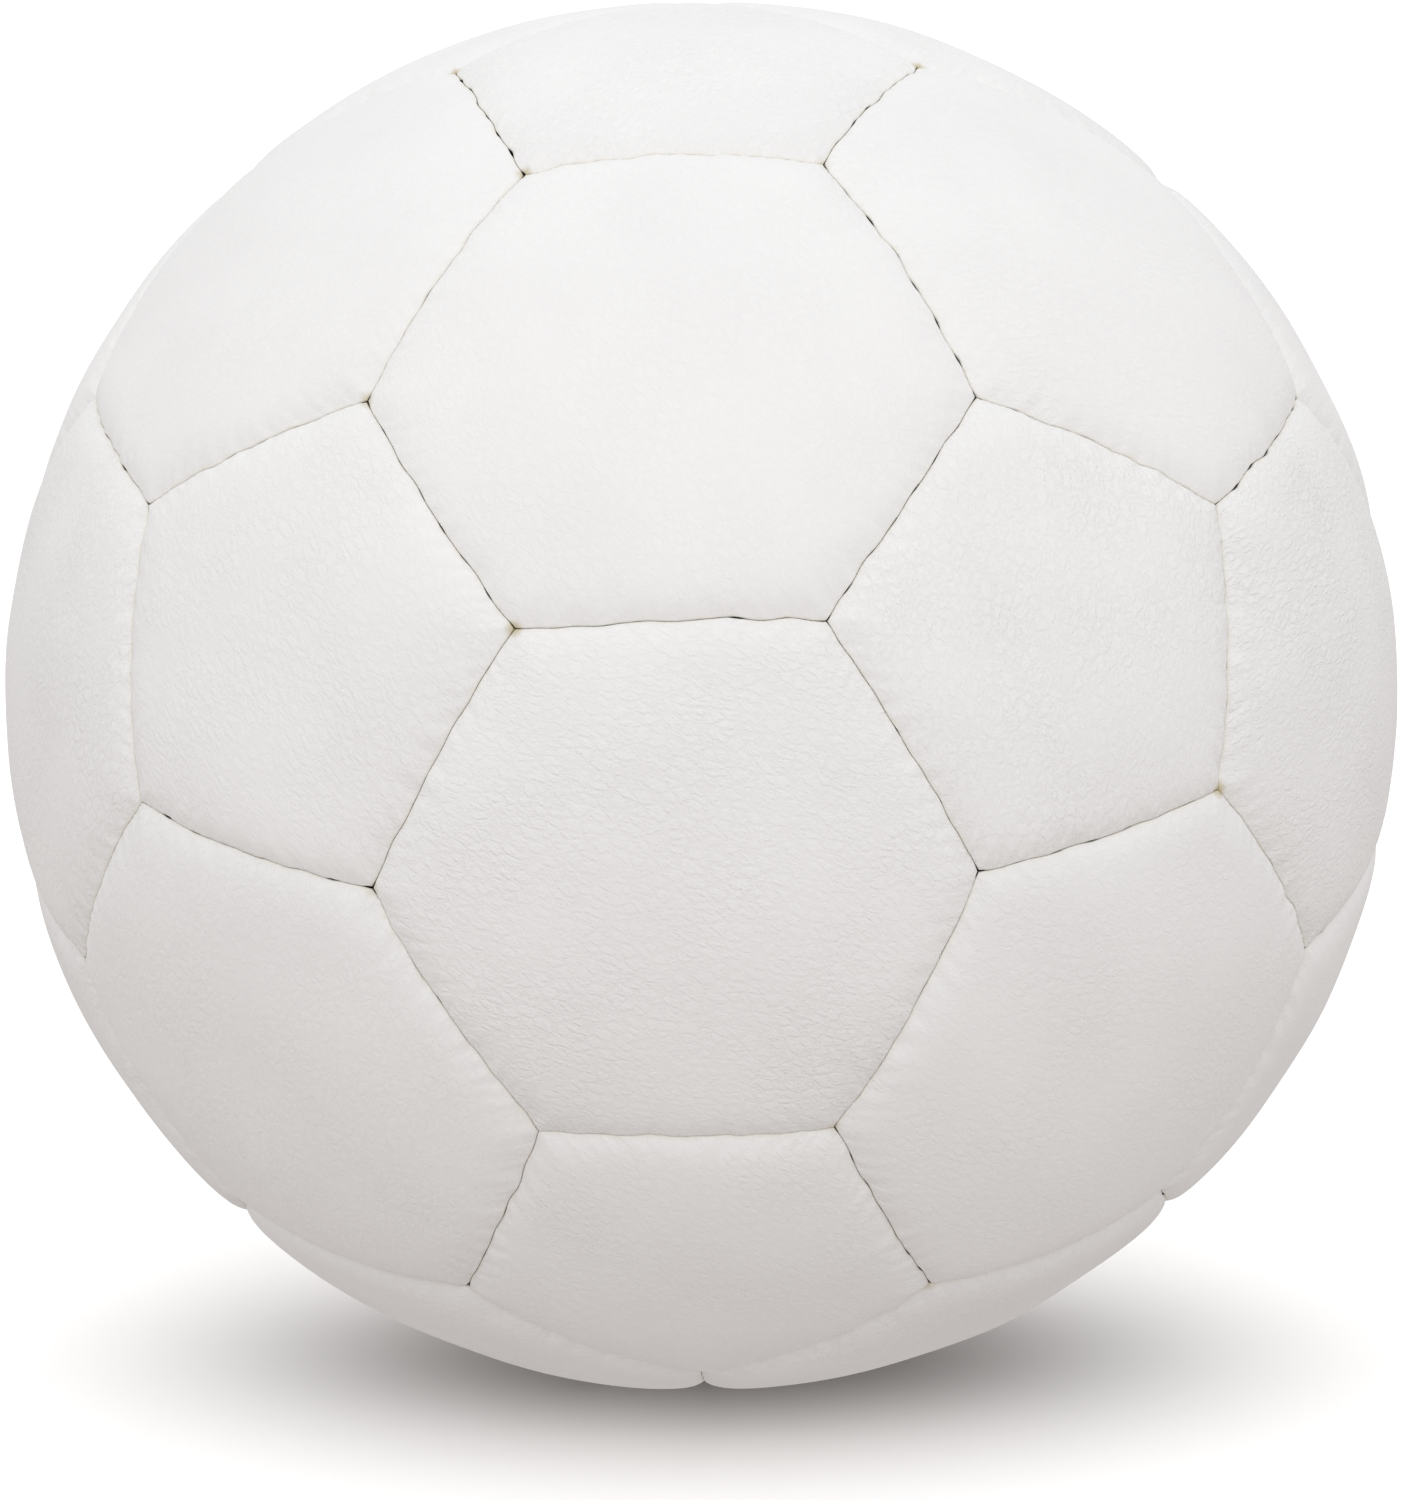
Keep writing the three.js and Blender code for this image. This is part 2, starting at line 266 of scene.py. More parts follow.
class Signal:
    """A socket's value in a material. Arithmetic on it adds Math nodes."""

    def __init__(self, paint, socket):
        self.paint = paint
        self.socket = socket

    def math(self, operation, *others):
        values = dict(enumerate((self, *others)))
        return self.paint.node("ShaderNodeMath", {"operation": operation}, values)

    def __add__(self, other):
        return self.math("ADD", other)

    def __sub__(self, other):
        return self.math("SUBTRACT", other)

    def __rsub__(self, other):
        return self.paint.value_math("SUBTRACT", other, self)

    def __mul__(self, other):
        return self.math("MULTIPLY", other)

    __radd__ = __add__
    __rmul__ = __mul__

    def between(self, low, high):
        """0 up to low, 1 from high, and a smooth rise from one to the other."""
        settings = {"interpolation_type": "SMOOTHSTEP", "clamp": True}
        return self.paint.node("ShaderNodeMapRange", settings, {0: self, 1: low, 2: high})


class Paint:
    """A material, and the nodes that it is made of."""

    def __init__(self, name):
        self.material = bpy.data.materials.new(name)
        self.material.use_nodes = True
        self.tree = self.material.node_tree
        self.tree.nodes.clear()

    def node(self, kind, settings=None, values=None, output=0):
        """Adds a node: its settings first, then the values or links of its sockets."""
        made = self.tree.nodes.new(kind)
        for name, value in (settings or {}).items():
            setattr(made, name, value)
        for key, value in (values or {}).items():
            if isinstance(value, Signal):
                self.tree.links.new(value.socket, made.inputs[key])
            else:
                made.inputs[key].default_value = value
        return Signal(self, made.outputs[output])

    def value_math(self, operation, first, second):
        return self.node("ShaderNodeMath", {"operation": operation}, {0: first, 1: second})

    def attribute(self, name):
        return self.node("ShaderNodeAttribute", {"attribute_name": name}, output="Fac")

    def mix(self, factor, first, second):
        """One colour where the factor is 0, another where it is 1."""
        settings = {"data_type": "RGBA", "clamp_factor": True}
        return self.node("ShaderNodeMix", settings, {0: factor, 6: first, 7: second}, output=2)

    def place(self, vector, scale=(1, 1, 1), shift=(0, 0, 0)):
        values = {"Vector": vector, "Location": shift, "Scale": scale}
        return self.node("ShaderNodeMapping", None, values)

    def noise(self, vector, scale, detail=2.0, roughness=0.5, output=0):
        values = {"Vector": vector, "Scale": scale, "Detail": detail, "Roughness": roughness}
        return self.node("ShaderNodeTexNoise", None, values, output)

    def cells(self, vector, scale, feature="DISTANCE_TO_EDGE", output="Distance"):
        values = {"Vector": vector, "Scale": scale}
        return self.node("ShaderNodeTexVoronoi", {"feature": feature}, values, output)

    def jitter(self, vector, scale, amount):
        """The vector, pushed about by noise."""
        push = self.noise(vector, scale, output=1)
        centred = self.node("ShaderNodeVectorMath", {"operation": "SUBTRACT"}, {0: push, 1: (0.5, 0.5, 0.5)})
        scaled = self.node("ShaderNodeVectorMath", {"operation": "SCALE"}, {0: centred, 3: amount})
        return self.node("ShaderNodeVectorMath", {"operation": "ADD"}, {0: vector, 1: scaled})

    def finish(self, colour, roughness, height, relief, **constants):
        """The surface: what varies is linked, and what doesn't is set on its socket."""
        bump_values = {"Height": height, "Distance": relief, "Strength": 1.0}
        normal = self.node("ShaderNodeBump", None, bump_values)
        values = {"Base Color": colour, "Roughness": roughness, "Normal": normal}
        values.update({name.replace("_", " "): value for name, value in constants.items()})
        surface = self.node("ShaderNodeBsdfPrincipled", None, values)
        self.node_output(surface)
        return self.material

    def node_output(self, surface):
        output = self.tree.nodes.new("ShaderNodeOutputMaterial")
        self.tree.links.new(surface.socket, output.inputs["Surface"])


def leatherette():
    """Soft white coated cloth with a fine creased grain, drawn out one way on each panel."""
    paint = Paint("white_leatherette")
    grain = paint.node("ShaderNodeUVMap", {"uv_map": "grain"})
    in_mm = paint.place(grain, scale=(1000, 1000, 1000))
    stretched = paint.place(in_mm, scale=(0.62, 1.0, 1.0))
    loose = paint.jitter(stretched, 0.9, 1.3)
    creases = 1 - paint.cells(loose, 0.6).between(0.0, 0.28)
    fine_loose = paint.jitter(stretched, 2.2, 0.65)
    fine_creases = 1 - paint.cells(fine_loose, 1.35).between(0.0, 0.3)
    pores = paint.noise(in_mm, 3.2, detail=3.0, roughness=0.6)
    worn = paint.noise(in_mm, 0.05, detail=2.0).between(0.3, 0.7)
    depth = paint.attribute("grain_depth") * (0.55 + 0.45 * worn)
    height = 1 - creases * depth * 0.55 - fine_creases * depth * 0.3 - pores * 0.3
    seam = paint.attribute("seam_distance")
    inside = paint.attribute("inside")
    # A creamy tint along the seam lips, in patches.
    tint_patches = paint.noise(in_mm, 0.35, detail=2.0)
    lip = 1 - (seam * 1000).between(0.05, 0.8)
    tint = lip * (0.4 + 0.6 * tint_patches.between(0.4, 0.6))
    # A darker yellow-brown spot at some of the corners where three seams meet.
    corner = 1 - (paint.attribute("corner_distance") * 1000).between(0.3, 1.9)
    place = paint.node("ShaderNodeTexCoord", output="Object")
    corner_spots = corner * paint.noise(place, 28.0, detail=2.0).between(0.5, 0.62)
    blotches = paint.noise(in_mm, 0.03, detail=3.0)
    body = paint.mix(blotches.between(0.3, 0.7), (0.905, 0.9, 0.9, 1), (0.93, 0.927, 0.926, 1))
    # Painted shade: the grain's creases are darkened.
    creased = paint.mix(creases * depth * 0.12, body, (0.7, 0.67, 0.66, 1))
    tinted = paint.mix(tint * 0.3, creased, (0.84, 0.78, 0.62, 1))
    corner_spotted = paint.mix(corner_spots * 0.6, tinted, (0.5, 0.4, 0.14, 1))
    # Painted shade: the turned-in edges below the lip are darkened, so the slits between panels look dark.
    colour = paint.mix(inside, corner_spotted, (0.34, 0.31, 0.24, 1))
    roughness = 0.5 + 0.12 * pores + 0.1 * creases
    return paint.finish(colour, roughness, height, 0.16 * MM, Specular_IOR_Level=0.35)


def waxed_thread():
    """Twisted white thread, a little yellowed by its wax."""
    paint = Paint("waxed_thread")
    place = paint.node("ShaderNodeTexCoord", output="Object")
    twist = paint.noise(place, 2500.0, detail=2.0)
    colour = paint.mix(twist, (0.62, 0.57, 0.44, 1), (0.8, 0.77, 0.68, 1))
    return paint.finish(colour, 0.6 + 0.2 * twist, twist, 0.05 * MM)


def calico():
    """Unbleached cotton in a plain weave, with slubs."""
    paint = Paint("calico")
    weave = paint.node("ShaderNodeUVMap", {"uv_map": "weave"})
    in_mm = paint.place(weave, scale=(1000, 1000, 1000))
    wandering = paint.jitter(in_mm, 0.4, 0.35)
    across = paint.node("ShaderNodeSeparateXYZ", None, {0: wandering}, output="X")
    along = paint.node("ShaderNodeSeparateXYZ", None, {0: wandering}, output="Y")
    pitch = 2 * math.pi / 0.55
    warp = paint.value_math("SINE", across * pitch, 0) * 0.5 + 0.5
    weft = paint.value_math("SINE", along * pitch, 0) * 0.5 + 0.5
    slubs = paint.noise(paint.place(in_mm, scale=(0.15, 1.6, 1)), 1.0, detail=2.0)
    height = warp * 0.5 + weft * 0.5 + slubs.between(0.5, 0.8) * 0.5
    colour = paint.mix(slubs.between(0.35, 0.75), (0.62, 0.53, 0.38, 1), (0.72, 0.64, 0.5, 1))
    shaded = paint.mix(height * 0.35, (0.45, 0.37, 0.25, 1), colour)
    lit = paint.mix(0.6 + 0.4 * warp, shaded, colour)
    return paint.finish(lit, 0.85 + 0.1 * slubs, height, 0.18 * MM, Sheen_Weight=0.2)


def cotton_cord():
    """Loosely spun cotton."""
    paint = Paint("cotton_cord")
    place = paint.node("ShaderNodeTexCoord", output="Object")
    fibres = paint.noise(paint.place(place, scale=(1, 1, 3)), 1500.0, detail=4.0)
    colour = paint.mix(fibres, (0.46, 0.38, 0.26, 1), (0.68, 0.61, 0.48, 1))
    return paint.finish(colour, 0.8 + 0.15 * fibres, fibres, 0.12 * MM, Sheen_Weight=0.2)


def fibre():
    """White polyester wadding, its fibres matted every way."""
    paint = Paint("fibre_wadding")
    place = paint.node("ShaderNodeTexCoord", output="Object")
    pulled = paint.jitter(place, 60.0, 0.012)
    lying = paint.noise(paint.place(pulled, scale=(1, 0.12, 1)), 900.0, detail=3.0, roughness=0.6)
    crossing = paint.noise(paint.place(pulled, scale=(0.12, 1, 0.6)), 900.0, detail=3.0, roughness=0.6)
    clumps = paint.noise(place, 70.0, detail=3.0)
    height = lying * 0.4 + crossing * 0.4 + clumps * 0.8
    colour = paint.mix(clumps.between(0.35, 0.65), (0.7, 0.69, 0.66, 1), (0.86, 0.86, 0.84, 1))
    return paint.finish(colour, 0.9 + 0.08 * lying, height, 0.9 * MM, Sheen_Weight=0.4)


def iron_sand():
    """Dark angular grains, some of them bright and some rusted."""
    paint = Paint("iron_sand")
    place = paint.node("ShaderNodeTexCoord", output="Object")
    edges = paint.cells(place, 1100.0).between(0.0, 0.25)
    grain = paint.cells(place, 1100.0, feature="F1", output="Color")
    shade = paint.node("ShaderNodeSeparateColor", None, {0: grain}, output="Red")
    kind = paint.node("ShaderNodeSeparateColor", None, {0: grain}, output="Green")
    dark = paint.mix(shade, (0.02, 0.019, 0.018, 1), (0.12, 0.115, 0.11, 1))
    rusted = paint.mix(kind.between(0.8, 0.86), dark, (0.16, 0.065, 0.03, 1))
    metal = kind.between(0.25, 0.3) - kind.between(0.8, 0.86)
    return paint.finish(rusted, 0.75 - 0.35 * shade, edges + shade * 0.6, 0.4 * MM, Metallic=metal * 0.7)


LEATHERETTE = leatherette()
CALICO = calico()
COTTON_CORD = cotton_cord()
WADDING = fibre()
IRON_SAND = iron_sand()
THREAD = waxed_thread()

# ---- Panels ----


def flat_panel(sides, corner_angle):
    """A flat panel with its edge turned down and its back closed, and a copy of its skin alone."""
    deselect()
    reach = math.tan(corner_angle)
    bpy.ops.mesh.primitive_circle_add(vertices=sides, radius=reach, fill_type="TRIFAN")
    sheet = bpy.context.active_object
    bpy.ops.object.mode_set(mode="EDIT")
    bpy.ops.mesh.select_all(action="SELECT")
    bpy.ops.mesh.subdivide(number_cuts=PANEL_STEPS - 1)
    bpy.ops.object.mode_set(mode="OBJECT")
    skin = sheet.data.copy()
    bpy.ops.object.mode_set(mode="EDIT")
    bpy.ops.mesh.region_to_loop()
    depth = 0.0
    for next_depth in FLANGE_DEPTHS:
        down = {"value": (0, 0, depth - next_depth)}
        bpy.ops.mesh.extrude_region_move(TRANSFORM_OT_translate=down)
        depth = next_depth
    inner = 1 - FLANGE_THICKNESS / (RADIUS * math.tan(corner_angle) * math.cos(math.pi / sides))
    bpy.ops.mesh.extrude_region_move()
    bpy.ops.transform.resize(value=(inner, inner, 1))
    bpy.ops.mesh.extrude_region_move(TRANSFORM_OT_translate={"value": (0, 0, depth - PANEL_THICKNESS)})
    for shrink in BACK_RINGS:
        bpy.ops.mesh.extrude_region_move()
        bpy.ops.transform.resize(value=(shrink, shrink, 1))
    bpy.ops.mesh.extrude_region_move()
    bpy.ops.mesh.merge(type="CENTER")
    bpy.ops.mesh.select_all(action="SELECT")
    bpy.ops.mesh.normals_make_consistent(inside=False)
    bpy.ops.object.mode_set(mode="OBJECT")
    mesh = sheet.data
    mesh.shade_smooth()
    bpy.data.objects.remove(sheet)
    return mesh, skin


def side_directions(sides):
    """From the middle of a flat panel to the middle of each side. A circle's first vertex lies on +Y."""
    turns = [2 * math.pi * (k + 0.5) / sides for k in range(sides)]
    return np.array([(math.sin(-turn), math.cos(turn)) for turn in turns])


def crowd_rings(flat, sides, apothem):
    """Brings a sheet's rings closer together towards its edge, where the shape has its detail."""
    reach = (flat @ side_directions(sides).T).max(axis=1) / apothem
    left = 1 - np.clip(reach, 0, 1)
    crowded = 1 - (EDGE_CROWDING * left + (1 - EDGE_CROWDING) * left**2)
    return flat * (crowded / np.maximum(reach, 1e-9))[:, None]


def swelling(skin, flat, at_edge):
    """How far a panel's skin swells above its sewn edge, from a cloth simulation.

    The sheet has some slack, is held all round its edge and blown up from inside, so it puckers along
    its seams. The stuffing then sets how far it can rise.
    """
    low = RADIUS - VALLEY_DEPTH
    set_mesh_points(skin, low * unit(np.c_[flat, np.ones(len(flat))]))
    sheet = bpy.data.objects.new("sewn_down_sheet", skin)
    bpy.context.collection.objects.link(sheet)
    edge = sheet.vertex_groups.new(name="sewn_edge")
    edge.add(np.flatnonzero(at_edge).tolist(), 1.0, "REPLACE")
    cloth = sheet.modifiers.new("leatherette", "CLOTH")
    settings = cloth.settings
    settings.vertex_group_mass = edge.name
    settings.tension_stiffness = CLOTH_TENSION
    settings.compression_stiffness = CLOTH_TENSION
    settings.bending_stiffness = CLOTH_BENDING
    settings.shrink_min = -CLOTH_SLACK
    settings.use_pressure = True
    settings.uniform_pressure_force = CLOTH_PRESSURE
    settings.effector_weights.gravity = 0
    cloth.point_cache.frame_end = CLOTH_FRAMES
    for moment in range(1, CLOTH_FRAMES + 1):
        bpy.context.scene.frame_set(moment)
    blown = sheet.evaluated_get(bpy.context.evaluated_depsgraph_get())
    rise = np.linalg.norm(mesh_points(blown.data), axis=1) - low
    bpy.context.scene.frame_set(1)
    bpy.data.objects.remove(sheet)
    return VALLEY_DEPTH * np.tanh(np.clip(rise, 0, None) / VALLEY_DEPTH)


class Template:
    """A panel shape that every panel with as many sides is made from."""

    def __init__(self, sides):
        middle = next(MIDDLES[name] for name in PANEL_NODES if name.startswith(PANEL_KINDS[sides]))
        corner = max(CORNERS, key=lambda candidate: float(candidate @ middle))
        self.sides = sides
        self.corner_angle = math.acos(float(corner @ middle))
        self.mesh, skin = flat_panel(sides, self.corner_angle)
        points = mesh_points(self.mesh)
        self.depths = -points[:, 2]
        apothem = math.tan(self.corner_angle) * math.cos(math.pi / sides)
        self.flat = points[:, :2].copy()
        visible = slice(0, len(skin.vertices))
        self.flat[visible] = crowd_rings(self.flat[visible], sides, apothem)
        outwards = side_directions(sides)
        reach = (self.flat[visible] @ outwards.T).max(axis=1) / apothem
        self.lift = np.zeros(len(points))
        self.lift[visible] = swelling(skin, self.flat[visible], reach > 1 - 1e-4)


PANEL_KINDS = {5: "pentagon", 6: "hexagon"}


def panel_corners(middle, sides):
    """A panel's corners, anticlockwise as seen from outside."""
    nearest = CORNERS[np.argsort(-(CORNERS @ middle))[:sides]]
    x = unit(nearest[0] - middle * (nearest[0] @ middle))
    y = np.cross(middle, x)
    order = np.argsort(np.arctan2(nearest @ y, nearest @ x))
    first = int(round(1e4 * abs(middle[0]))) % sides
    return nearest[np.roll(order, first)]


def upholstered(template, middle, corners):
    """A panel's points round the ball's centre, and how far each is from the nearest seam and corner."""
    x_axis = unit(corners[0] - middle * (corners[0] @ middle))
    y_axis = np.cross(middle, x_axis)
    # A circle's first vertex lies on +Y.
    directions = unit(template.flat[:, 1:2] * x_axis - template.flat[:, 0:1] * y_axis + middle)
    draw_in = VALLEY_DEPTH - template.lift
    shift = np.zeros_like(directions)
    nearest = np.full(len(directions), np.inf)
    to_corner = np.full(len(directions), np.inf)
    below = np.clip(template.depths, 0, None)
    channel = np.clip(below / CHANNEL_START, 0, 1) * (below < max(FLANGE_DEPTHS) + MM)
    for k in range(template.sides):
        start, end = corners[k], corners[(k + 1) % template.sides]
        inwards = unit(np.cross(start, end))
        half_way = unit(start + end)
        along_axis = np.cross(inwards, half_way)
        away = RADIUS * np.arcsin(np.clip(directions @ inwards, -1, 1))
        along = RADIUS * np.arctan2(directions @ along_axis, directions @ half_way)
        away = np.maximum(away, 0)
        foot = RADIUS * unit(directions - (directions @ inwards)[:, None] * inwards)
        between = 0.5 - 0.5 * np.cos(2 * math.pi * along / STITCH)
        slit = np.clip((between - 1 + SLIT_SHARE) / SLIT_SHARE, 0, 1)
        looseness = LOOSENESS + SEAM_VARIETY * seam_looseness.at(RADIUS * half_way[None])
        loose = np.clip(looseness + STITCH_VARIETY * stitch_looseness.at(foot), 0, MOST_LOOSE)
        folds = 0.5 + 0.5 * wrinkles.at(foot)
        draw_in += PUCKER_DEPTH * (1 - between) * np.exp(-away / PUCKER_REACH)
        draw_in += WRINKLE_DEPTH * folds * np.exp(-away / WRINKLE_REACH)
        gap = CLOSED_GAP + OPEN_GAP * loose**LOOSE_POWER * slit
        shift += inwards * (gap * np.exp(-away / GAP_REACH))[:, None]
        shift += inwards * (CHANNEL * channel * (away < EDGE_BAND))[:, None]
        nearest = np.minimum(nearest, away)
        from_corner = RADIUS * np.arccos(np.clip(directions @ start, -1, 1))
        to_corner = np.minimum(to_corner, from_corner)
    draw_in += JUNCTION_DEPTH * np.exp(-to_corner / JUNCTION_REACH)
    turn = np.clip(LIP_RADIUS - nearest, 0, LIP_RADIUS)
    draw_in += LIP_RADIUS - np.sqrt(LIP_RADIUS**2 - turn**2)
    rough = UNEVENNESS * panel_unevenness.at(directions * RADIUS)
    swell = rough * np.clip(nearest / UNEVENNESS_START, 0, 1)
    points = directions * (RADIUS - draw_in - below + swell)[:, None] + shift
    points = on_floor(hand_sewn(points), below)
    return points, nearest, to_corner


CUTTING_SEED = 367260
CUTTING_TURN = 0.5  # radians, at most, from the panel's own axes
SHALLOWEST_GRAIN = 0.3  # of the deepest


def add_grain(mesh, template, name):
    """The panel's own map of its grain, in metres, turned as its piece was cut from the roll."""
    draw = np.random.default_rng(CUTTING_SEED + PANEL_NODES.index(name))
    turn = draw.uniform(-CUTTING_TURN, CUTTING_TURN)
    across = template.flat * RADIUS
    out = unit(np.where(np.abs(across) < 1e-9, 1e-9, across))
    laid = across + out * np.clip(template.depths, 0, None)[:, None]
    rotation = np.array([[math.cos(turn), -math.sin(turn)], [math.sin(turn), math.cos(turn)]])
    laid = laid @ rotation.T + draw.uniform(-1, 1, 2)
    corners = np.empty(len(mesh.loops), dtype=np.int32)
    mesh.loops.foreach_get("vertex_index", corners)
    add_values(mesh, "grain_depth", np.full(len(mesh.vertices), draw.uniform(SHALLOWEST_GRAIN, 1.0)))
    layer = mesh.uv_layers.new(name="grain")
    layer.data.foreach_set("uv", laid[corners].astype(np.float32).ravel())


def add_values(mesh, name, values):
    attribute = mesh.attributes.new(name, "FLOAT", "POINT")
    attribute.data.foreach_set("value", values.astype(np.float32))


templates = {sides: Template(sides) for sides in PANEL_KINDS}


def sew_on(name):
    """One panel of the cover, in the place of its CAD node."""
    sides = 5 if name.startswith("pentagon") else 6
    template = templates[sides]
    middle = MIDDLES[name]
    points, nearest, to_corner = upholstered(template, middle, panel_corners(middle, sides))
    mesh = template.mesh.copy()
    set_mesh_points(mesh, points + CENTRE)
    add_grain(mesh, template, name)
    add_values(mesh, "seam_distance", nearest)
    add_values(mesh, "corner_distance", to_corner)
    # The share of painted shade in the slits, on the turned-in edge below the lip.
    add_values(mesh, "inside", np.clip((template.depths - SLIT_SHADE_START) / SLIT_SHADE_BLEND, 0, 1))
    number = name.rsplit("_", 1)[1]
    piece = add_piece(f"{PANEL_KINDS[sides]}_cover_{number}", mesh, LEATHERETTE, "cover_leatherette", name)


for panel_name in PANEL_NODES:
    sew_on(panel_name)

# ---- Thread ----


def sewn_thread():
    """The thread of all the seams, which winds from one turned-in edge to the other at each stitch."""
    curve = bpy.data.curves.new("thread_path", "CURVE")
    curve.dimensions = "3D"
    curve.bevel_depth = THREAD_RADIUS
    curve.bevel_resolution = 1
    curve.use_fill_caps = True
    steps = 16 * STITCHES_PER_SEAM
    for start, end in SEAMS:
        half_way = unit(start + end)
        across = unit(np.cross(start, end))
        along_axis = np.cross(across, half_way)
        along = np.linspace(-0.5, 0.5, steps + 1) * (SEAM_LENGTH - 2 * THREAD_END)
        turn = 2 * math.pi * along / STITCH
        angle = (along / RADIUS)[:, None]
        depth = THREAD_DEPTH - THREAD_RISE * np.cos(turn)
        path = (np.cos(angle) * half_way + np.sin(angle) * along_axis) * (RADIUS - depth)[:, None]
        path += (THREAD_SWING * np.sin(turn))[:, None] * across
        path = hand_sewn(path)
        spline = curve.splines.new("POLY")
        spline.points.add(len(path) - 1)
        spline.points.foreach_set("co", np.c_[path + CENTRE, np.ones(len(path))].ravel())
    holder = bpy.data.objects.new("thread_path", curve)
    bpy.context.collection.objects.link(holder)
    make_active(holder)
    bpy.ops.object.convert(target="MESH")
    mesh = bpy.context.active_object.data
    bpy.data.objects.remove(bpy.context.active_object)
    mesh.shade_smooth()
    return mesh


add_piece("sewn_thread", sewn_thread(), THREAD, "waxed_thread", "seam_thread")

# ---- Bags, ties, wadding and sand ----

CLOTH_THICKNESS = 1.1 * MM
NECK_WALL = 2.6 * MM  # of a bag's gathered neck
NECK_COLLAR = 4.3 * MM  # beyond the middle of its tie
SMALLEST_BORE = 2.0 * MM  # of a neck
GROOVE_DEPTH = 2.3 * MM  # that the tie draws into a neck
GROOVE_MOUTH = 2.0 * MM  # half of its width at the neck's surface
GROOVE_FLOOR = 1.1 * MM  # and at its bottom
HEM_OUTSIDE = 0.5 * MM  # of the slanting edge round the mouth
HEM_INSIDE = 0.3 * MM
TIE_BEDDING = 0.1 * MM  # how far the tie stands out of its groove
NECK_MARGIN = 0.5 * MM  # points this close to a neck are part of it
PLEATS = 17
PLEAT_WANDER = 0.8  # of the pleats from even places, in radians of one pleat
PLEAT_DEPTH = 0.7 * MM
FOLD_DEPTH = 0.45 * MM
FOLD_REACH = 30 * MM
BAG_SLACK = 0.12 * MM  # of the unevenness of a whole bag
TURNED_STEPS = 136
ARC_SPACING = math.radians(2.5)
CORD_RADIUS = 0.95 * MM
CORD_PLIES = 3
CORD_TURNS = 13
PLY_GROOVE = 0.28  # of the cord's radius, between two plies
WADDING_GAP = 0.9 * MM  # to the bags, for its lumps
WAY_GAP = 0.6 * MM  # round the core bag's neck
WAY_MARGIN = 0.2 * MM  # points this close to that way are part of its wall
PULLED = 0.5 * MM  # how far the wadding's surface is pulled about
SAND_GAP = 0.9 * MM  # to the core bag
SAND_BELOW_TOP = 1.5 * MM
SAND_HOLLOW = 3 * MM
SAND_GRAIN = 0.12 * MM
SAND_RINGS = np.linspace(0.96, 0, 24)  # of its top, as shares of the rim


def radius_of(name):
    low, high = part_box(name)
    return (high.x - low.x) / 2


def arc(radius, start, end):
    """Points of a circle round the ball's centre, as (distance from the axis, height above the centre)."""
    steps = max(2, round(abs(end - start) / ARC_SPACING))
    angles = np.linspace(start, end, steps + 1)
    return [(radius * math.cos(angle), radius * math.sin(angle)) for angle in angles]


def turned(profile, closed=False):
    """A mesh turned round the ball's upright axis from an outline on one side of it."""
    deselect()
    outline = bpy.data.meshes.new("outline")
    edges = [(i, i + 1) for i in range(len(profile) - 1)]
    if closed:
        edges.append((len(profile) - 1, 0))
    outline.from_pydata([(across, 0, height) for across, height in profile], edges, [])
    blank = bpy.data.objects.new("outline", outline)
    bpy.context.collection.objects.link(blank)
    make_active(blank)
    bpy.ops.object.mode_set(mode="EDIT")
    bpy.ops.mesh.select_all(action="SELECT")
    bpy.ops.mesh.spin(steps=TURNED_STEPS, angle=2 * math.pi, center=(0, 0, 0), axis=(0, 0, 1))
    bpy.ops.mesh.select_all(action="SELECT")
    bpy.ops.mesh.remove_doubles(threshold=0.01 * MM)
    bpy.ops.mesh.normals_make_consistent(inside=False)
    bpy.ops.object.mode_set(mode="OBJECT")
    bpy.data.objects.remove(blank)
    outline.shade_smooth()
    return outline


def add_weave(mesh):
    """A map of cloth laid round the ball, in metres: its width round the axis, its length up and down."""
    points = mesh_points(mesh)
    corners = np.empty(len(mesh.loops), dtype=np.int32)
    mesh.loops.foreach_get("vertex_index", corners)
    starts = np.empty(len(mesh.polygons), dtype=np.int32)
    mesh.polygons.foreach_get("loop_start", starts)
    totals = np.empty(len(mesh.polygons), dtype=np.int32)
    mesh.polygons.foreach_get("loop_total", totals)
    turns = np.arctan2(points[corners, 1], points[corners, 0])
    first = np.repeat(turns[starts], totals)
    turns = first + (turns - first + math.pi) % (2 * math.pi) - math.pi
    reach = np.linalg.norm(points[corners], axis=1)
    rise = np.arcsin(points[corners, 2] / reach)
    laid = np.stack([turns * reach.max(), rise * reach], axis=1)
    layer = mesh.uv_layers.new(name="weave")
    layer.data.foreach_set("uv", laid.astype(np.float32).ravel())


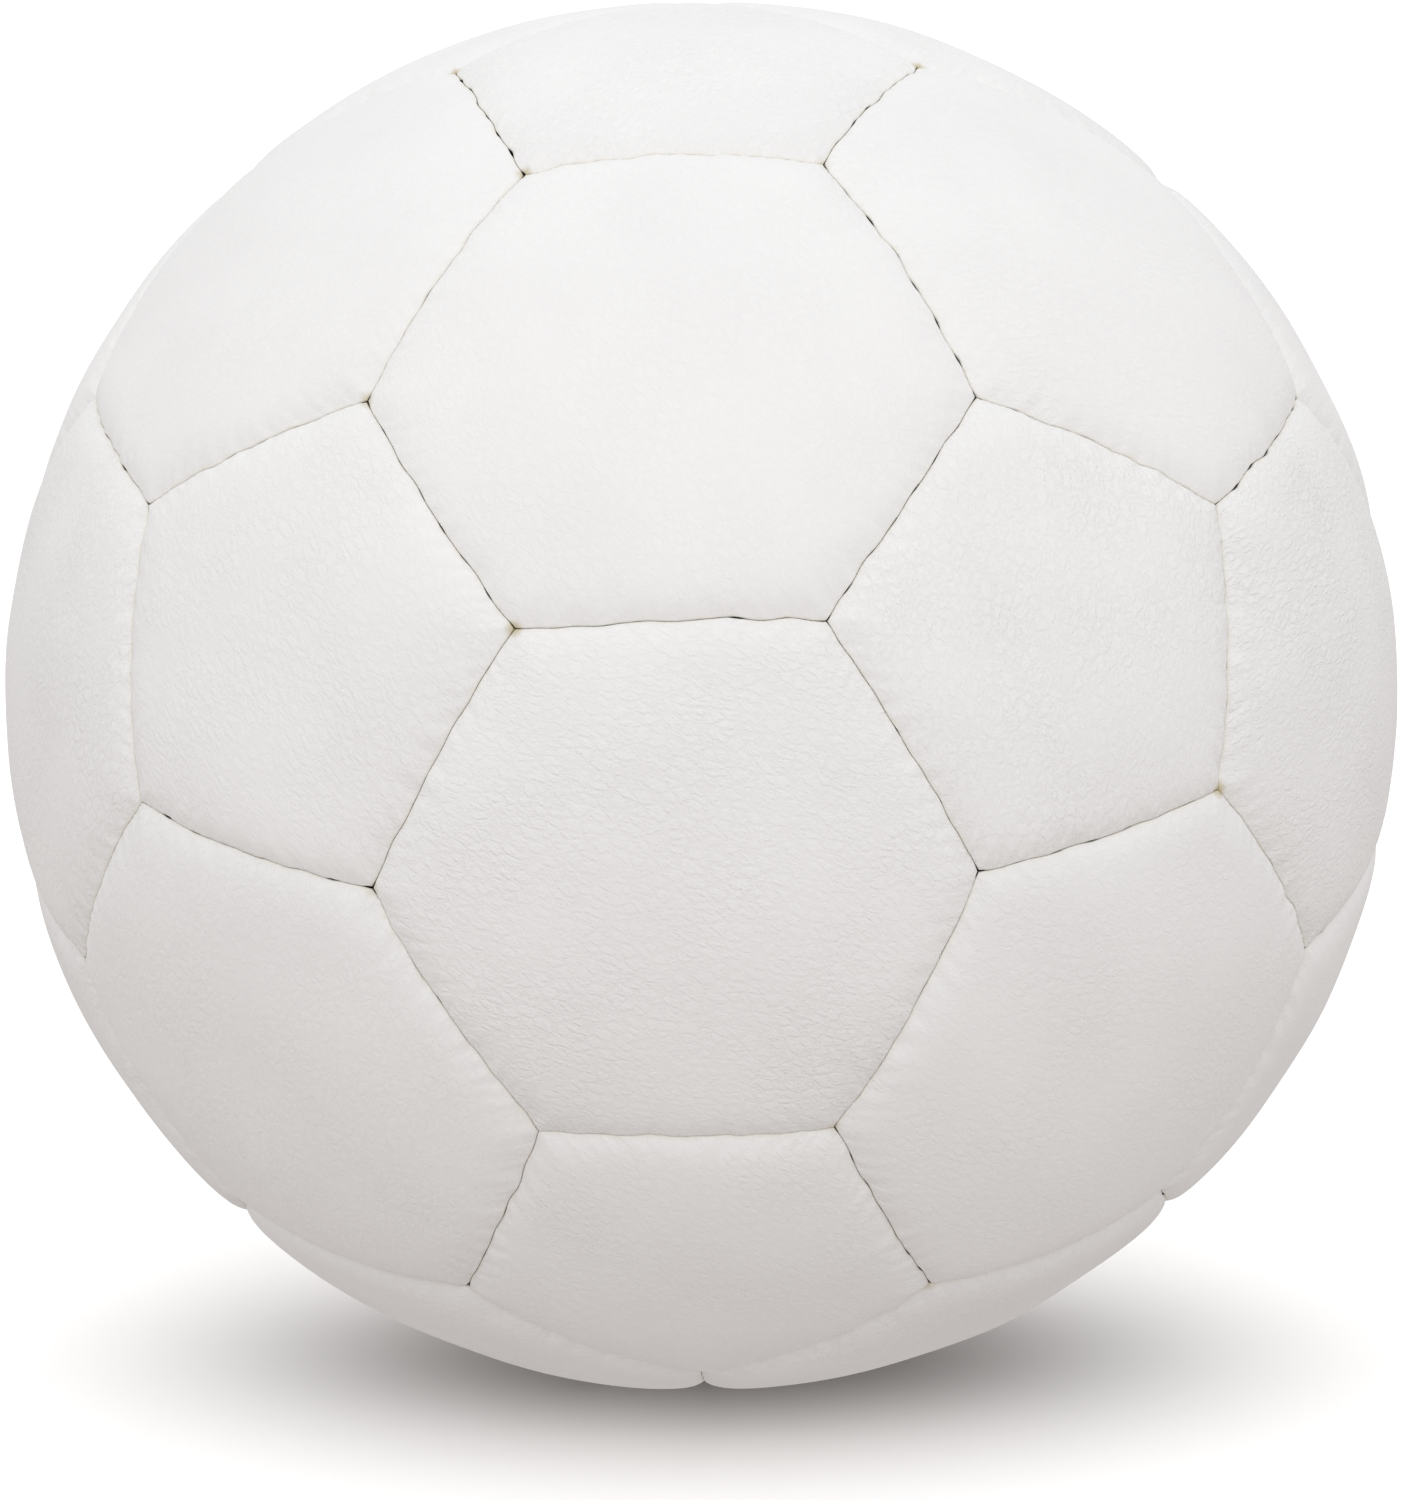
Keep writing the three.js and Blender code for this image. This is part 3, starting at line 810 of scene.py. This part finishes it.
def gathered_bag(name, node, tie, neck_turns_in):
    """A cloth bag round the ball's centre, gathered into a tied neck that is turned in or left out."""
    outside = radius_of(node)
    inside = outside - CLOTH_THICKNESS
    neck = radius_of(tie) - TIE_BEDDING
    waist = neck - GROOVE_DEPTH
    tie_low, tie_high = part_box(tie)
    groove = (tie_low.z + tie_high.z) / 2 - CENTRE[2]
    way = -1 if neck_turns_in else 1
    end = groove + way * NECK_COLLAR
    bore = max(waist - NECK_WALL, SMALLEST_BORE)
    mouth = bore if neck_turns_in else neck
    throat = neck if neck_turns_in else bore
    pole = math.pi / 2
    outer = arc(outside, -pole, math.acos(mouth / outside))
    inner = arc(inside, math.acos(throat / inside), -pole)
    collar = [
        (neck, groove - way * GROOVE_MOUTH),
        (waist, groove - way * GROOVE_FLOOR),
        (waist, groove + way * GROOVE_FLOOR),
        (neck, groove + way * GROOVE_MOUTH),
        (neck, end - way * HEM_OUTSIDE),
        (neck - HEM_OUTSIDE, end),
        (bore + HEM_INSIDE, end),
        (bore, end - way * HEM_INSIDE),
    ]
    if neck_turns_in:
        collar.reverse()
    mesh = turned(outer + collar + inner)
    add_weave(mesh)
    points = mesh_points(mesh)
    from_axis = np.linalg.norm(points[:, :2], axis=1)
    turns = np.arctan2(points[:, 1], points[:, 0])
    upper = points[:, 2] > 0
    from_centre = np.linalg.norm(points, axis=1)
    off_the_bag = (from_centre > 1.02 * outside) | (from_centre < 0.995 * inside)
    in_neck = upper & (from_axis < neck + NECK_MARGIN) & off_the_bag
    pleats = 0.5 + 0.5 * np.cos(PLEATS * turns + PLEAT_WANDER * np.sin(3 * turns))
    squeeze = np.where(in_neck & (from_axis > bore + NECK_MARGIN), PLEAT_DEPTH * pleats, 0)
    points[:, :2] *= (1 - squeeze / np.maximum(from_axis, MM))[:, None]
    away = np.maximum(from_axis - neck, 0)
    folds = FOLD_DEPTH * (0.6 * pleats + 0.4) * np.exp(-away / FOLD_REACH) * (away > 0) * upper
    slack = BAG_SLACK * (1 + panel_unevenness.at(points))
    drawn_in = np.where(away > 0, folds + slack, 0)
    points -= unit(np.where(np.abs(points) < 1e-9, 1e-9, points)) * drawn_in[:, None]
    set_mesh_points(mesh, points + CENTRE)
    piece = add_piece(name, mesh, CALICO, "bag_cloth", node)


def twisted_tie(name, node):
    """A cord of three plies round a neck."""
    low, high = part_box(node)
    outer = radius_of(node)
    deselect()
    bpy.ops.mesh.primitive_torus_add(
        major_radius=outer - CORD_RADIUS,
        minor_radius=CORD_RADIUS,
        major_segments=260,
        minor_segments=24,
    )
    ring = bpy.context.active_object
    mesh = ring.data
    bpy.data.objects.remove(ring)
    points = mesh_points(mesh)
    from_axis = np.linalg.norm(points[:, :2], axis=1)
    turns = np.arctan2(points[:, 1], points[:, 0])
    round_cord = np.arctan2(points[:, 2], from_axis - (outer - CORD_RADIUS))
    plies = np.abs(np.cos(CORD_PLIES * (round_cord + CORD_TURNS * turns) / 2))
    shrink = 1 - PLY_GROOVE * (1 - plies) ** 1.5
    ring_place = points.copy()
    ring_place[:, 2] = 0
    ring_place[:, :2] *= ((outer - CORD_RADIUS) / from_axis)[:, None]
    points = ring_place + (points - ring_place) * shrink[:, None]
    middle = np.array([CENTRE[0], CENTRE[1], (low.z + high.z) / 2])
    set_mesh_points(mesh, points + middle)
    mesh.shade_smooth()
    add_piece(name, mesh, COTTON_CORD, "tie_cord", node)


def wadding(name, node):
    """Half of the fibre filling, with its surfaces pulled about."""
    outside = radius_of(node) - WADDING_GAP
    hollow = radius_of("core_bag") + WADDING_GAP
    way = radius_of("core_bag_tie") + WAY_GAP
    low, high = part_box(node)
    pole = math.pi / 2
    if name.endswith("upper"):
        split = low.z - CENTRE[2]
        ends = [arc(outside, math.asin(split / outside), math.acos(way / outside))]
        ends.append(arc(hollow, math.acos(way / hollow), math.asin(split / hollow)))
    else:
        split = high.z - CENTRE[2]
        ends = [arc(outside, -pole, math.asin(split / outside))]
        ends.append(arc(hollow, math.asin(split / hollow), -pole))
    mesh = turned(ends[0] + ends[1], closed=name.endswith("upper"))
    points = mesh_points(mesh)
    pulled = PULLED * np.clip(panel_unevenness.at(points) + 0.5 * wrinkles.at(points), -1, 1)
    level = np.abs(points[:, 2] - split) < SAME_PLACE
    outwards = unit(np.where(np.abs(points) < 1e-9, 1e-9, points))
    outwards[level, 2] = 0
    way_side = np.linalg.norm(points[:, :2], axis=1) < way + WAY_MARGIN
    points += outwards * np.where(way_side, 0, pulled)[:, None]
    set_mesh_points(mesh, points + CENTRE)
    piece = add_piece(name, mesh, WADDING, "fibre_wadding", node)


def sand():
    """The ballast, settled a little hollow below the neck of its bag."""
    reach = radius_of("core_fill") - SAND_GAP
    low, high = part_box("core_fill")
    edge = math.asin((high.z - SAND_BELOW_TOP - CENTRE[2]) / reach)
    rim = arc(reach, -math.pi / 2, edge)
    level = [(rim[-1][0] * share, rim[-1][1]) for share in SAND_RINGS]
    mesh = turned(rim + level)
    points = mesh_points(mesh)
    grains = SAND_GRAIN * wrinkles.at(points * 4)
    top = points[:, 2] > rim[-1][1] - SAME_PLACE
    across = np.linalg.norm(points[:, :2], axis=1) / rim[-1][0]
    points[:, 2] += np.where(top, grains - SAND_HOLLOW * (1 - np.clip(across, 0, 1) ** 2), 0)
    set_mesh_points(mesh, points + CENTRE)
    add_piece("ballast_sand", mesh, IRON_SAND, "iron_sand", "core_fill")


gathered_bag("stuffing_bag_cloth", "stuffing_bag", "stuffing_bag_tie", neck_turns_in=True)
gathered_bag("core_bag_cloth", "core_bag", "core_bag_tie", neck_turns_in=False)
twisted_tie("stuffing_bag_cord", "stuffing_bag_tie")
twisted_tie("core_bag_cord", "core_bag_tie")
wadding("fibre_upper", "wadding_upper")
wadding("fibre_lower", "wadding_lower")
sand()

# ---- Stage, light and camera ----

VIEW_ELEVATION = math.radians(10)
CAMERA_DISTANCE = 9 * RADIUS
LENS = 149.4
AIM_BELOW_CENTRE = 9.0 * MM
AIM_RIGHT_OF_CENTRE = 0.7 * MM
FLOOR_SIZE = 30
FLOOR_GAP = 0.1 * MM  # below the ball
SHADE = 0.87  # of the painted shadow's darkest place, on the floor
SHADE_WIDTH = 0.66 * RADIUS
SHADE_DEPTH = 0.42 * RADIUS
SHADE_SHIFT = -0.04  # of its width, sideways
FLOOR_WHITE = 1.3
FLOOR_GLOW = (1, 0.935, 0.905, 1)
FLOOR_GLOW_STRENGTH = 0.56
ROOM_LIGHT = 0.93
SOFTBOX_SIZE = 1.6
SOFTBOX_POWER = 12
SOFTBOX_PLACE = (0, -2.6, 1.6)


def add_floor():
    """A pale floor. The camera sees a soft shadow painted on it under the ball, and the ball gets an even
    glow from it.
    """
    deselect()
    bpy.ops.mesh.primitive_plane_add(size=FLOOR_SIZE, location=(0, 0, PATCH_HEIGHT - FLOOR_GAP))
    floor = bpy.context.active_object
    floor.name = "studio_floor"
    paint = Paint("studio_floor")
    seen = paint.node("ShaderNodeLightPath", output="Is Camera Ray")
    place = paint.node("ShaderNodeTexCoord", output="Object")
    shrunk = (1 / SHADE_WIDTH, 1 / SHADE_DEPTH, 1)
    across = paint.place(place, scale=shrunk, shift=(SHADE_SHIFT, 0, 0))
    spread = paint.node("ShaderNodeVectorMath", {"operation": "LENGTH"}, {0: across}, output="Value")
    # Painted shadow: a soft dark ellipse under the ball, in the colour the camera sees.
    shade = SHADE * paint.value_math("EXPONENT", spread * spread * -1, 0)
    white = (FLOOR_WHITE, FLOOR_WHITE, FLOOR_WHITE, 1)
    colour = paint.mix(shade, white, (0, 0, 0, 1))
    paper = paint.node("ShaderNodeBsdfDiffuse", None, {"Color": colour})
    glowing = {"Color": FLOOR_GLOW, "Strength": FLOOR_GLOW_STRENGTH}
    glow = paint.node("ShaderNodeEmission", None, glowing)
    paint.node_output(paint.node("ShaderNodeMixShader", None, {0: seen, 1: glow, 2: paper}))
    floor.data.materials.append(paint.material)


def add_light():
    world = bpy.data.worlds.new("studio")
    world.use_nodes = True
    background = world.node_tree.nodes["Background"]
    background.inputs["Color"].default_value = (1.0, 1.0, 1.0, 1)
    background.inputs["Strength"].default_value = ROOM_LIGHT
    bpy.context.scene.world = world
    softbox = bpy.data.lights.new("front_softbox", "AREA")
    softbox.size = SOFTBOX_SIZE
    softbox.energy = SOFTBOX_POWER
    holder = bpy.data.objects.new("front_softbox", softbox)
    holder.location = SOFTBOX_PLACE
    holder.rotation_euler = (Vector(CENTRE) - holder.location).to_track_quat("-Z", "Y").to_euler()
    bpy.context.collection.objects.link(holder)


def add_camera():
    forwards = Vector((0, math.cos(VIEW_ELEVATION), -math.sin(VIEW_ELEVATION)))
    up = Vector((0, math.sin(VIEW_ELEVATION), math.cos(VIEW_ELEVATION)))
    right = Vector((1, 0, 0))
    centre = Vector(CENTRE)
    aim = centre - up * AIM_BELOW_CENTRE + right * AIM_RIGHT_OF_CENTRE
    camera_data = bpy.data.cameras.new("camera")
    camera_data.lens = LENS
    camera_data.clip_end = 100
    camera = bpy.data.objects.new("camera", camera_data)
    camera.location = centre - forwards * CAMERA_DISTANCE
    camera.rotation_euler = (aim - camera.location).to_track_quat("-Z", "Y").to_euler()
    bpy.context.collection.objects.link(camera)
    bpy.context.scene.camera = camera


add_floor()
add_light()
add_camera()
bpy.context.scene.view_settings.view_transform = "Standard"
